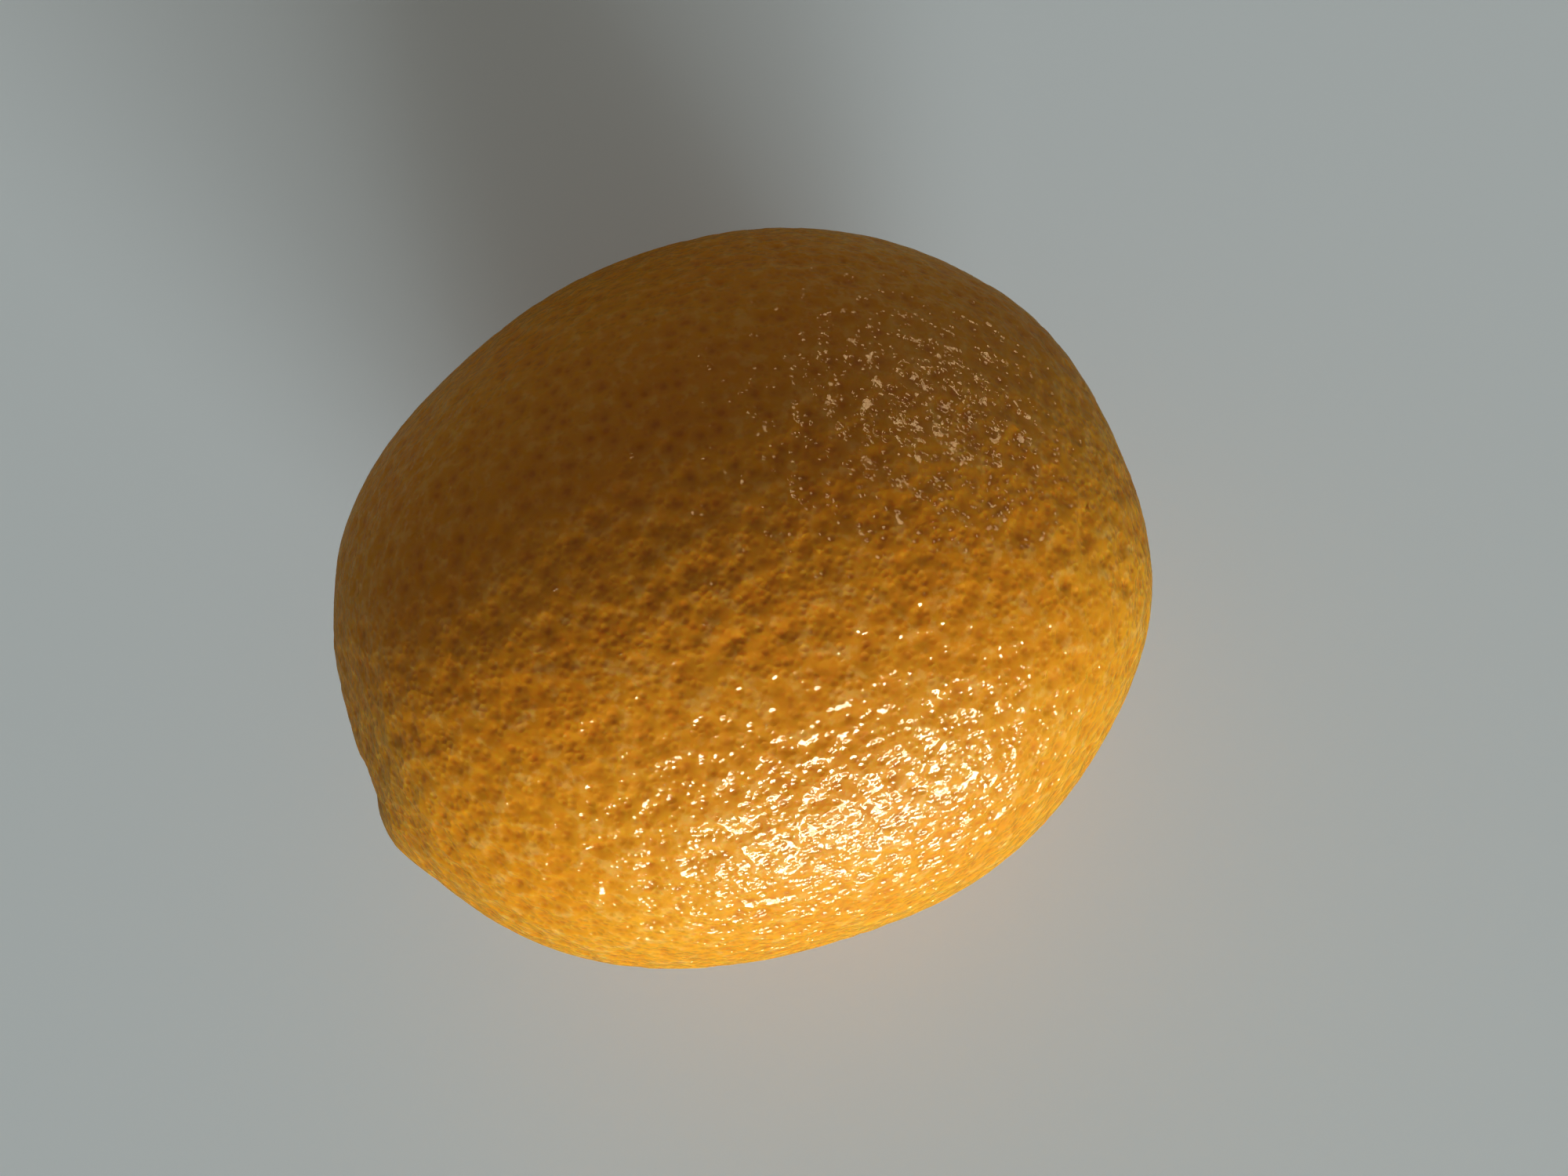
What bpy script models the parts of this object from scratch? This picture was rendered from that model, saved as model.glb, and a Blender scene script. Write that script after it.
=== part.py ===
"""An orange lying on its side, as picked, with its dry button in the stem end.

Metres, +Z up. The fruit rests on a small flat spot on z = 0, and the middle of
its footprint is the origin. Its core points from the blossom end at +X to the
stem end at -X, turned a little towards -Y.
"""
import math
import random

import bmesh
import bpy
from mathutils import Matrix, Vector

MM = 0.001

# Body of the fruit: a barrel-like oval round its core, measured from its centre.
STEM_HALF = 37.8 * MM
BLOSSOM_HALF = 37.3 * MM
HALF_WIDTH = 34.7 * MM
BLUNTNESS = 2.33
CORE_AZIMUTH = -165.0
CORE_ELEVATION = 3.0

# Broad rises and hollows of the peel: azimuth and elevation of the middle in
# degrees, height in metres, and how far it spreads in degrees.
SWELLS = (
    (-146.0, 20.0, 1.1 * MM, 7.5),
    (143.0, 20.0, -2.7 * MM, 27.5),
    (38.0, 20.0, 0.95 * MM, 16.5),
    (4.0, 20.0, 1.9 * MM, 21.0),
    (-24.0, 20.0, -0.4 * MM, 17.0),
    (12.0, -28.0, 0.8 * MM, 25.0),
    (-100.0, -40.0, -0.8 * MM, 22.0),
    (80.0, -35.0, -0.6 * MM, 24.0),
)

# Flattened shoulder beside the stem: the direction it faces in degrees, how far
# it lies from the fruit's centre, how softly it meets the rest, and the smallest
# cosine of a direction that can still meet it.
SHOULDER_AZIMUTH = -164.0
SHOULDER_ELEVATION = 33.0
SHOULDER_DISTANCE = 37.8 * MM
SHOULDER_BLEND = 2.2 * MM
SHOULDER_SIDE = 0.5

# Stem end: a round dimple for the button, with furrows that run out from it.
# The places are degrees from the core's axis.
DIMPLE_DEPTH = 2.4 * MM
DIMPLE_FLOOR = 8.0
DIMPLE_RIM = 17.0
FURROWS = 6
FURROW_DEPTH = 0.7 * MM
FURROW_WANDER = 0.7
FURROW_START = (10.0, 15.0)
FURROW_END = (17.0, 32.0)

# Blossom end: the small sunk scar where the flower was.
SCAR_DEPTH = 0.6 * MM
SCAR_SPREAD = 5.0

# Pits of the peel, fewer and deeper than life: how many, how deep the deepest and
# the shallowest are, how far each is shaken off an even pattern as a share of
# their spacing, and how often the pattern is evened out again afterwards.
PIT_COUNT = 1650
PIT_DEPTH = 0.55 * MM
SHALLOW_PIT = 0.6
PIT_SHAKE = 0.38
PIT_EVENING = 2
PIT_SEED = 11

# Rest spot: how much of the lowest peel is pressed flat, and over what height
# above it the pits fade in.
FOOT_RISE = 0.5 * MM
SMOOTH_RISE = 1.6 * MM
FOOT_SEARCH = 30

# Button: the dry calyx with five short lobes and the stub of the stem. It sits
# clear of the highest peel under it and within a margin round it.
BUTTON_GAP = 0.3 * MM
SEAT_MARGIN = 2.0 * MM
BUTTON_LOBES = 5
BUTTON_RADIUS = 3.5 * MM
LOBE_REACH = 0.6 * MM
BUTTON_EDGE = 0.6 * MM
BUTTON_CROWN = 1.0 * MM
STUB_RADIUS = 1.25 * MM
STUB_HEIGHT = 1.9 * MM
STUB_ROUNDING = 0.3 * MM
BUTTON_SIDES = 40


def unit_direction(azimuth, elevation):
    """Unit vector at an azimuth from +X and an elevation, both in degrees."""
    around, up = math.radians(azimuth), math.radians(elevation)
    level = math.cos(up)
    return Vector((math.cos(around) * level, math.sin(around) * level, math.sin(up)))


STEM = unit_direction(CORE_AZIMUTH, CORE_ELEVATION)
SIDE = Vector((0.0, 0.0, 1.0)).cross(STEM).normalized()
UPPER = STEM.cross(SIDE)
SWELL_AXES = [unit_direction(azimuth, elevation) for azimuth, elevation, _, _ in SWELLS]
SHOULDER = unit_direction(SHOULDER_AZIMUTH, SHOULDER_ELEVATION)


def smooth_step(low, high, value):
    """0 below low, 1 above high, and an even S-curve between them."""
    share = min(max((value - low) / (high - low), 0.0), 1.0)
    return share * share * (3.0 - 2.0 * share)


def smooth_min(first, second, blend):
    """The smaller of two lengths, rounded where they are closer than blend."""
    near = max(blend - abs(first - second), 0.0) / blend
    return min(first, second) - near ** 3 * blend / 6.0


def bell(degrees, spread):
    """1 in the middle of a swell, fading out over its spread."""
    return math.exp(-(degrees / spread) ** 2)


def angle_between(direction, axis):
    """Angle in degrees between two unit vectors."""
    return math.degrees(math.acos(min(max(direction.dot(axis), -1.0), 1.0)))


def body_radius(direction):
    """Blunt oval round the core, with its swells and the flattened shoulder."""
    along = direction.dot(STEM)
    across = math.sqrt(max(1.0 - along * along, 0.0))
    half = STEM_HALF if along > 0.0 else BLOSSOM_HALF
    shares = (abs(along) / half) ** BLUNTNESS + (across / HALF_WIDTH) ** BLUNTNESS
    radius = shares ** (-1.0 / BLUNTNESS)
    for axis, (_, _, height, spread) in zip(SWELL_AXES, SWELLS):
        radius += height * bell(angle_between(direction, axis), spread)
    facing = direction.dot(SHOULDER)
    if facing > SHOULDER_SIDE:
        radius = smooth_min(radius, SHOULDER_DISTANCE / facing, SHOULDER_BLEND)
    return radius


def end_relief(direction):
    """Dimple, furrows and scar: what the two ends add to the body's radius."""
    from_stem = angle_between(direction, STEM)
    relief = -DIMPLE_DEPTH * (1.0 - smooth_step(DIMPLE_FLOOR, DIMPLE_RIM, from_stem))
    around = math.atan2(direction.dot(UPPER), direction.dot(SIDE))
    crease = max(math.cos(FURROWS * around + FURROW_WANDER * math.sin(2.0 * around)), 0.0) ** 2
    ring = smooth_step(*FURROW_START, from_stem) * (1.0 - smooth_step(*FURROW_END, from_stem))
    relief -= FURROW_DEPTH * crease * ring
    relief -= SCAR_DEPTH * bell(180.0 - from_stem, SCAR_SPREAD)
    return relief


def peel_point(direction):
    """Where the smooth peel lies in one direction from the fruit's centre."""
    return direction * (body_radius(direction) + end_relief(direction))


def spread_directions(count, shake, seed):
    """Directions spread evenly over a ball on a golden spiral, then shaken a little."""
    rng = random.Random(seed)
    step = math.sqrt(4.0 * math.pi / count)
    turn = math.pi * (3.0 - math.sqrt(5.0))
    directions = []
    for index in range(count):
        height = 1.0 - (2.0 * index + 1.0) / count
        level = math.sqrt(1.0 - height * height)
        spot = Vector((math.cos(index * turn) * level, math.sin(index * turn) * level, height))
        push = Vector([rng.uniform(-1.0, 1.0) for _ in range(3)])
        directions.append((spot + push * step * shake).normalized())
    return directions


def net_over(directions):
    """A net of triangles that joins each direction to its nearest neighbours."""
    net = bmesh.new()
    for direction in directions:
        net.verts.new(direction)
    bmesh.ops.convex_hull(net, input=net.verts)
    net.verts.index_update()
    net.faces.index_update()
    return net


def evened(directions):
    """Moves each direction to the middle of its own cell, so that no cell is a sliver."""
    net = net_over(directions)
    middles = []
    for vert in net.verts:
        total = sum((face.calc_center_median().normalized() for face in vert.link_faces), Vector())
        middles.append(total.normalized())
    net.free()
    return middles


def pit_cells(directions):
    """Corners of the cells round each pit, and the pairs of pits that meet at an edge."""
    for _ in range(PIT_EVENING):
        directions = evened(directions)
    net = net_over(directions)
    corners = [face.calc_center_median().normalized() for face in net.faces]
    borders = []
    for edge in net.edges:
        first, second = edge.verts
        for loop in edge.link_loops:
            if loop.vert == first:
                left = loop.face.index
            else:
                right = loop.face.index
        borders.append((first.index, second.index, left, right))
    pits = [vert.co.copy() for vert in net.verts]
    net.free()
    return pits, corners, borders


def lowest_level():
    """Height of the smooth peel's lowest point, from the fruit's centre."""
    heights = []
    for azimuth in range(0, 360, 15):
        for lean in range(0, FOOT_SEARCH, 2):
            heights.append(peel_point(unit_direction(azimuth, lean - 90.0)).z)
    return min(heights)


def fruit_mesh():
    """The whole fruit round its own centre, with its pits and its flat rest spot."""
    rng = random.Random(PIT_SEED + 1)
    pits, corners, borders = pit_cells(spread_directions(PIT_COUNT, PIT_SHAKE, PIT_SEED))
    floor = lowest_level() + FOOT_RISE
    shell = bmesh.new()
    pit_verts = []
    for direction in pits:
        point = peel_point(direction)
        clear_of_button = smooth_step(DIMPLE_FLOOR, DIMPLE_RIM, angle_between(direction, STEM))
        clear_of_floor = smooth_step(floor, floor + SMOOTH_RISE, point.z)
        depth = PIT_DEPTH * rng.uniform(SHALLOW_PIT, 1.0) * clear_of_button * clear_of_floor
        pit_verts.append(shell.verts.new(point - direction * depth))
    corner_verts = [shell.verts.new(peel_point(direction)) for direction in corners]
    for first, second, left, right in borders:
        shell.faces.new((pit_verts[first], corner_verts[right], corner_verts[left]))
        shell.faces.new((pit_verts[second], corner_verts[left], corner_verts[right]))
    press_flat(shell, floor)
    mesh = bpy.data.meshes.new("orange")
    shell.to_mesh(mesh)
    shell.free()
    return mesh


def press_flat(shell, floor):
    """Cuts the fruit level at its rest spot and closes it with one flat face."""
    geometry = list(shell.verts) + list(shell.edges) + list(shell.faces)
    bmesh.ops.bisect_plane(
        shell,
        geom=geometry,
        dist=1e-7,
        plane_co=(0.0, 0.0, floor),
        plane_no=(0.0, 0.0, 1.0),
        clear_inner=True,
    )
    rim = [edge for edge in shell.edges if edge.is_boundary]
    bmesh.ops.edgeloop_fill(shell, edges=rim)
    bmesh.ops.recalc_face_normals(shell, faces=shell.faces)


def button_radius(around):
    """Edge of the calyx: a round plate with five short blunt lobes."""
    lobe = 0.5 + 0.5 * math.cos(BUTTON_LOBES * around)
    return BUTTON_RADIUS + LOBE_REACH * lobe ** 1.5


def button_mesh():
    """The button standing on its own z = 0: plate, swollen crown and stub of the stem."""
    plate = (
        (0.94, 0.0),
        (1.0, 0.35 * BUTTON_EDGE),
        (0.93, BUTTON_EDGE),
        (0.62, 0.85 * BUTTON_CROWN),
        (0.46, BUTTON_CROWN),
    )
    stub = (
        (1.0, STUB_HEIGHT - STUB_ROUNDING),
        (0.8, STUB_HEIGHT),
    )
    shell = bmesh.new()
    rings = [lobed_ring(shell, share, height) for share, height in plate]
    rings += [round_ring(shell, share * STUB_RADIUS, height) for share, height in stub]
    for lower, upper in zip(rings, rings[1:]):
        for index in range(BUTTON_SIDES):
            after = (index + 1) % BUTTON_SIDES
            shell.faces.new((lower[index], lower[after], upper[after], upper[index]))
    shell.faces.new(list(reversed(rings[0])))
    shell.faces.new(rings[-1])
    mesh = bpy.data.meshes.new("stem_button")
    shell.to_mesh(mesh)
    shell.free()
    return mesh


def ring_of_points(shell, reaches, height):
    """One ring of points round the button, each at its own reach."""
    ring = []
    for index, reach in enumerate(reaches):
        around = 2.0 * math.pi * index / BUTTON_SIDES
        ring.append(shell.verts.new((math.cos(around) * reach, math.sin(around) * reach, height)))
    return ring


def lobed_ring(shell, share, height):
    """A ring that follows the calyx's edge at a share of its radius."""
    turns = [2.0 * math.pi * index / BUTTON_SIDES for index in range(BUTTON_SIDES)]
    return ring_of_points(shell, [share * button_radius(around) for around in turns], height)


def round_ring(shell, radius, height):
    """A round ring, for the stub of the stem."""
    return ring_of_points(shell, [radius] * BUTTON_SIDES, height)


def seat_button(button, fruit):
    """Turns the button onto the core's axis and seats it just clear of the dimple."""
    reach = BUTTON_RADIUS + LOBE_REACH + SEAT_MARGIN
    below = [
        vert.co.dot(STEM)
        for vert in fruit.vertices
        if vert.co.dot(STEM) > 0.0 and (vert.co - STEM * vert.co.dot(STEM)).length < reach
    ]
    turn = Matrix((SIDE, UPPER, STEM)).transposed().to_4x4()
    button.transform(turn)
    button.transform(Matrix.Translation(STEM * (max(below) + BUTTON_GAP)))


def stand_on_floor(meshes):
    """Moves the pieces together so that they stand on z = 0 round the origin."""
    points = [vert.co for mesh in meshes for vert in mesh.vertices]
    middle_x = (min(point.x for point in points) + max(point.x for point in points)) / 2.0
    middle_y = (min(point.y for point in points) + max(point.y for point in points)) / 2.0
    floor = min(point.z for point in points)
    for mesh in meshes:
        mesh.transform(Matrix.Translation((-middle_x, -middle_y, -floor)))


def finish(name, colour, roughness):
    """A plain Principled material for one piece."""
    material = bpy.data.materials.new(name)
    material.use_nodes = True
    shader = material.node_tree.nodes["Principled BSDF"]
    shader.inputs["Base Color"].default_value = (*colour, 1.0)
    shader.inputs["Roughness"].default_value = roughness
    shader.inputs["Metallic"].default_value = 0.0
    return material


def add_piece(mesh, material, sharp_angle):
    """Adds a finished mesh to the scene as the object of its own name."""
    mesh.materials.append(material)
    mesh.shade_smooth()
    mesh.set_sharp_from_angle(angle=math.radians(sharp_angle))
    bpy.context.scene.collection.objects.link(bpy.data.objects.new(mesh.name, mesh))


def main():
    """Builds the fruit and its button."""
    for leftover in list(bpy.data.objects):
        bpy.data.objects.remove(leftover)
    fruit = fruit_mesh()
    button = button_mesh()
    seat_button(button, fruit)
    stand_on_floor((fruit, button))
    add_piece(fruit, finish("orange_peel", (0.78, 0.26, 0.01), 0.38), 60.0)
    add_piece(button, finish("dry_calyx", (0.22, 0.19, 0.08), 0.8), 40.0)


main()
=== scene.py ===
# %% [markdown]
# # An orange lying on its side
#
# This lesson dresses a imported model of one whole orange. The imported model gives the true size
# and place of the fruit and of the dry button in its stem end. Here both get the surface that
# the eye knows: pitted, waxy peel and brittle, wrinkled calyx.
#
# The peel could be a smooth ball with a bump map, but its outline and its highlights would stay
# smooth. So Geometry Nodes grow the whole fruit, hollow by hollow, from one rule.

import math

import bpy
import bmesh
import numpy as np
from mathutils import Matrix, Vector, noise


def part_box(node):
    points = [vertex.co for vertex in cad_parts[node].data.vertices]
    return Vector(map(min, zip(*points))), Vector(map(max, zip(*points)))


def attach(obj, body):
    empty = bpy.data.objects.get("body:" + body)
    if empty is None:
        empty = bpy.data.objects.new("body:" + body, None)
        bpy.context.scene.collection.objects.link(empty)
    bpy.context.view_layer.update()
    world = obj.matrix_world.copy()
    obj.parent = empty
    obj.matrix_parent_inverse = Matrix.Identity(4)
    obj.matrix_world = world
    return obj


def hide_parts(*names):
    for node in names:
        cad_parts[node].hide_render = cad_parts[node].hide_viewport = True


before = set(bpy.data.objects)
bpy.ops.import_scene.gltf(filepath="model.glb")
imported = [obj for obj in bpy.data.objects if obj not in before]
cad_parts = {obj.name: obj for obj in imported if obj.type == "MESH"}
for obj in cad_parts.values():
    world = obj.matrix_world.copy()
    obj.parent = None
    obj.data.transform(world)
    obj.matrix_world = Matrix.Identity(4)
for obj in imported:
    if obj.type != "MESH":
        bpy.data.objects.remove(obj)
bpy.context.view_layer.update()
MM = 0.001

# %% [markdown]
# ## Small helpers for node trees
#
# A node tree can be built by hand in the editor, or in Python, one node and one link at a time.
# A few short helpers keep the Python readable: they add a node and feed it, do a sum or a vector
# sum, and make a soft step or a bell curve. They work in shader and in geometry trees alike.

# %% Helpers: add a node, sums, curves and an empty group
def feed(tree, place, value):
    """Links an output socket to an input, or sets the input to a plain value."""
    if isinstance(value, bpy.types.NodeSocket):
        tree.links.new(value, place)
    else:
        place.default_value = value


def add(tree, kind, inputs=None, take=0, **settings):
    """Adds one node, feeds its inputs by name or number, and gives one output back."""
    node = tree.nodes.new(kind)
    for name, value in settings.items():
        setattr(node, name, value)
    for name, value in (inputs or {}).items():
        feed(tree, node.inputs[name], value)
    return node.outputs[take]


def calc(tree, operation, *values):
    """One step of arithmetic."""
    return add(tree, "ShaderNodeMath", dict(enumerate(values)), operation=operation)


def vector(tree, operation, *values):
    """One step of vector arithmetic. Dot products and lengths are plain numbers."""
    take = "Value" if operation in {"DOT_PRODUCT", "LENGTH", "DISTANCE"} else "Vector"
    return add(tree, "ShaderNodeVectorMath", dict(enumerate(values)), take, operation=operation)


def scaled(tree, value, factor):
    """A vector times a number."""
    return add(tree, "ShaderNodeVectorMath", {"Vector": value, "Scale": factor}, operation="SCALE")


def ramp(tree, value, start, end, low=0.0, high=1.0):
    """A soft S-curve from low to high while the value goes from start to end."""
    inputs = {"Value": value, "From Min": start, "From Max": end, "To Min": low, "To Max": high}
    return add(tree, "ShaderNodeMapRange", inputs, interpolation_type="SMOOTHSTEP")


def bell(tree, share):
    """A bell curve: 1 where the share is 0, and falling away on both sides."""
    return calc(tree, "EXPONENT", calc(tree, "MULTIPLY", calc(tree, "MULTIPLY", share, share), -1.0))


def new_group(name, kind, inputs, outputs):
    """An empty node group with named sockets. Gives the tree, its inputs and its output node."""
    tree = bpy.data.node_groups.new(name, kind)
    for label, socket_type in outputs:
        tree.interface.new_socket(label, in_out="OUTPUT", socket_type=socket_type)
    for label, socket_type in inputs:
        tree.interface.new_socket(label, in_out="INPUT", socket_type=socket_type)
    given = tree.nodes.new("NodeGroupInput").outputs
    result = tree.nodes.new("NodeGroupOutput").inputs
    return tree, given, result


FLOAT, VECTOR, GEOMETRY = "NodeSocketFloat", "NodeSocketVector", "NodeSocketGeometry"
print("helpers ready")

# %% [markdown]
# ## The fruit's form as one rule
#
# An orange is a blunt oval round its core. This one is a little longer than wide, flat-shouldered
# at the stem, and swollen here and there where it grew against leaves and neighbours. A rule that
# gives the distance from the centre in any direction describes all of that, and the same rule can
# shape any number of points.
#
# The core lies almost level, with its stem end at -X, turned a little towards -Y.

# %% The fruit's own sizes and directions
STEM_HALF = 37.8 * MM
BLOSSOM_HALF = 37.3 * MM
HALF_WIDTH = 34.7 * MM
BLUNTNESS = 2.33


def unit_direction(azimuth, elevation):
    """Unit vector at an azimuth from +X and an elevation, both in degrees."""
    around, up = math.radians(azimuth), math.radians(elevation)
    level = math.cos(up)
    return Vector((math.cos(around) * level, math.sin(around) * level, math.sin(up)))


STEM = unit_direction(-165.0, 3.0)
SIDE = Vector((0.0, 0.0, 1.0)).cross(STEM).normalized()
UPPER = STEM.cross(SIDE)

# Azimuth and elevation of the middle, height, and spread in degrees.
SWELLS = (
    (-146.0, 20.0, 1.1 * MM, 7.5),
    (143.0, 20.0, -2.7 * MM, 27.5),
    (38.0, 20.0, 0.95 * MM, 16.5),
    (4.0, 20.0, 1.9 * MM, 21.0),
    (-24.0, 20.0, -0.4 * MM, 17.0),
    (12.0, -28.0, 0.8 * MM, 25.0),
    (-100.0, -40.0, -0.8 * MM, 22.0),
    (80.0, -35.0, -0.6 * MM, 24.0),
)
SHOULDER = unit_direction(-164.0, 33.0)
SHOULDER_DISTANCE = 37.8 * MM
SHOULDER_BLEND = 2.2 * MM
SHOULDER_SIDE = 0.5
print("core points along", [round(value, 3) for value in STEM])

# %% [markdown]
# ## Node group: one swell
#
# Every swell is the same small sum: how far a direction is from the middle of the swell, in
# degrees, then a bell curve of that. It is a group of its own, so that each swell is one node
# with its place, height and spread on it.

# %% Node group for one swell
swell, given, result = new_group(
    "Swell",
    "GeometryNodeTree",
    [("Direction", VECTOR), ("Middle", VECTOR), ("Height", FLOAT), ("Spread", FLOAT)],
    [("Rise", FLOAT)],
)
facing = vector(swell, "DOT_PRODUCT", given["Direction"], given["Middle"])
degrees = calc(swell, "DEGREES", calc(swell, "ARCCOSINE", facing))
share = calc(swell, "DIVIDE", degrees, given["Spread"])
feed(swell, result["Rise"], calc(swell, "MULTIPLY", given["Height"], bell(swell, share)))
print("swell group:", len(swell.nodes), "nodes")

# %% [markdown]
# ## Node group: the smooth fruit
#
# The oval is a superellipse: with an exponent of 2 it would be an ellipse, and a little more
# makes the ends and sides blunter. The swells are added in a loop, and a soft minimum against a
# flat plane presses the shoulder beside the stem.

# %% Node group for the body's radius
body, given, result = new_group(
    "Fruit Body",
    "GeometryNodeTree",
    [
        ("Direction", VECTOR),
        ("Stem Half", FLOAT),
        ("Blossom Half", FLOAT),
        ("Half Width", FLOAT),
        ("Bluntness", FLOAT),
    ],
    [("Radius", FLOAT), ("From Stem", FLOAT)],
)
direction = given["Direction"]
along = vector(body, "DOT_PRODUCT", direction, STEM)
across = calc(body, "SQRT", calc(body, "SUBTRACT", 1.0, calc(body, "MULTIPLY", along, along)))
stem_side = calc(body, "GREATER_THAN", along, 0.0)
longer = calc(body, "SUBTRACT", given["Stem Half"], given["Blossom Half"])
half = calc(body, "MULTIPLY_ADD", longer, stem_side, given["Blossom Half"])
length_share = calc(body, "DIVIDE", calc(body, "ABSOLUTE", along), half)
lengthwise = calc(body, "POWER", length_share, given["Bluntness"])
sideways = calc(body, "POWER", calc(body, "DIVIDE", across, given["Half Width"]), given["Bluntness"])
inverse = calc(body, "DIVIDE", -1.0, given["Bluntness"])
radius = calc(body, "POWER", calc(body, "ADD", lengthwise, sideways), inverse)
for azimuth, elevation, height, spread in SWELLS:
    settings = {
        "Direction": direction,
        "Middle": unit_direction(azimuth, elevation),
        "Height": height,
        "Spread": spread,
    }
    rise = add(body, "GeometryNodeGroup", take=0, node_tree=swell)
    for name, value in settings.items():
        feed(body, rise.node.inputs[name], value)
    radius = calc(body, "ADD", radius, rise)
facing = calc(body, "MAXIMUM", vector(body, "DOT_PRODUCT", direction, SHOULDER), SHOULDER_SIDE)
plane = calc(body, "DIVIDE", SHOULDER_DISTANCE, facing)
feed(body, result["Radius"], calc(body, "SMOOTH_MIN", radius, plane, SHOULDER_BLEND))
feed(body, result["From Stem"], calc(body, "DEGREES", calc(body, "ARCCOSINE", along)))
print("body group:", len(body.nodes), "nodes")

# %% [markdown]
# ## Node group: the two ends
#
# At the stem end the peel sinks into a round dimple that holds the button, and short furrows run
# out from it between low shoulders. At the other end the flower left a small sunk scar. All of it
# depends only on the angle from the core and the turn round it.

# %% Node group for the ends' relief
DIMPLE_DEPTH = 2.4 * MM
DIMPLE = (8.0, 17.0)
FURROWS = 6
FURROW_DEPTH = 0.7 * MM
FURROW_WANDER = 0.7
FURROW_START = (10.0, 15.0)
FURROW_END = (17.0, 32.0)
SCAR_DEPTH = 0.6 * MM
SCAR_SPREAD = 5.0

ends, given, result = new_group(
    "Fruit Ends",
    "GeometryNodeTree",
    [("Direction", VECTOR), ("From Stem", FLOAT)],
    [("Relief", FLOAT)],
)
from_stem = given["From Stem"]
dimple = ramp(ends, from_stem, *DIMPLE, -DIMPLE_DEPTH, 0.0)
height_round = vector(ends, "DOT_PRODUCT", given["Direction"], UPPER)
side_round = vector(ends, "DOT_PRODUCT", given["Direction"], SIDE)
around = calc(ends, "ARCTAN2", height_round, side_round)
wander = calc(ends, "MULTIPLY", calc(ends, "SINE", calc(ends, "MULTIPLY", around, 2.0)), FURROW_WANDER)
wave = calc(ends, "COSINE", calc(ends, "MULTIPLY_ADD", around, float(FURROWS), wander))
crease = calc(ends, "POWER", calc(ends, "MAXIMUM", wave, 0.0), 2.0)
inner = ramp(ends, from_stem, *FURROW_START)
outer = ramp(ends, from_stem, *FURROW_END, 1.0, 0.0)
ring = calc(ends, "MULTIPLY", inner, outer)
furrow = calc(ends, "MULTIPLY", calc(ends, "MULTIPLY", crease, -FURROW_DEPTH), ring)
scar_share = calc(ends, "DIVIDE", calc(ends, "SUBTRACT", 180.0, from_stem), SCAR_SPREAD)
scar = calc(ends, "MULTIPLY", bell(ends, scar_share), -SCAR_DEPTH)
feed(ends, result["Relief"], calc(ends, "ADD", calc(ends, "ADD", dimple, furrow), scar))
print("ends group:", len(ends.nodes), "nodes")

# %% [markdown]
# ## The peel's pattern as one rule
#
# Under the peel lie thousands of round oil glands. Each large one draws the skin down to a pore in
# the middle of a shallow hollow under two millimetres wide, and the skin between the hollows stands
# up in soft crests. A Voronoi texture gives just that: its distance is zero at each scattered
# point and greatest on the borders between them. A little noise bends its straight borders.
#
# The pattern is needed twice, as a height in the mesh and as a mask in the colour. Noise and
# Voronoi nodes are the same in both kinds of tree, so one function builds the rule in either. Both
# read the same point of a round ball, straight out from the fruit's middle, so that each dark pore
# sits at the bottom of its own hollow.

# %% The pattern of hollows, for a geometry tree or a shader tree
SKIN = 36.5 * MM
HOLLOW_SIZE = 1.7 * MM
HOLLOW_BEND = 0.6 * MM
BEND_SIZE = 1.2 * MM
HOLLOW_FROM = 0.05
HOLLOW_TO = 0.75


def noise_at(tree, place, size, detail=2.0, take="Fac"):
    """Noise with a feature size in metres."""
    return add(tree, "ShaderNodeTexNoise", {"Vector": place, "Scale": 1.0 / size, "Detail": detail}, take)


def scattered(tree, place, size):
    """Distance from the nearest of many scattered points."""
    return add(tree, "ShaderNodeTexVoronoi", {"Vector": place, "Scale": 1.0 / size}, feature="F1")


def hollow_pattern(tree, place):
    """Distance from the nearest large gland, 0 at its pore and about 0.8 on the crests."""
    bend = vector(tree, "SUBTRACT", noise_at(tree, place, BEND_SIZE, 2.0, "Color"), (0.5, 0.5, 0.5))
    bent = vector(tree, "ADD", place, scaled(tree, bend, HOLLOW_BEND))
    return scattered(tree, bent, HOLLOW_SIZE)


def chance_of(tree, cells):
    """A random number from 0 to 1 for each cell of a Voronoi texture."""
    return add(tree, "ShaderNodeSeparateXYZ", {"Vector": cells.node.outputs["Color"]})


print("hollows", HOLLOW_SIZE / MM, "mm apart")

# %% [markdown]
# ## The tree that grows the peel
#
# A displaced sphere of latitude rings has crowded poles. Points on a golden spiral spread evenly over
# a ball instead, and a convex hull joins them with triangles. Each point is shaken a little first, or
# the eye would find the spiral in the highlight. From a net as dense as this one the hull leaves out
# about a third of the points. The print after the fruit is grown gives the number.

# %% A ball of scattered points, joined by a hull
NET_POINTS = 98000
NET_SHAKE = 0.25
NET_SEED = 5
GOLDEN_TURN = math.pi * (3.0 - math.sqrt(5.0))

peel, given, result = new_group(
    "Pitted Peel",
    "GeometryNodeTree",
    [
        ("Geometry", GEOMETRY),
        ("Net Points", "NodeSocketInt"),
        ("Net Shake", FLOAT),
        ("Hollow Depth", FLOAT),
        ("Lump Height", FLOAT),
        ("Lump Size", FLOAT),
        ("Swell Height", FLOAT),
        ("Swell Size", FLOAT),
        ("Stem Half", FLOAT),
        ("Blossom Half", FLOAT),
        ("Half Width", FLOAT),
        ("Bluntness", FLOAT),
        ("Rest Drop", FLOAT),
        ("Seed", "NodeSocketInt"),
        ("Peel", "NodeSocketMaterial"),
    ],
    [("Geometry", GEOMETRY)],
)


def move(tree, geometry, position):
    """Puts points at new positions."""
    return add(tree, "GeometryNodeSetPosition", {"Geometry": geometry, "Position": position})


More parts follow.
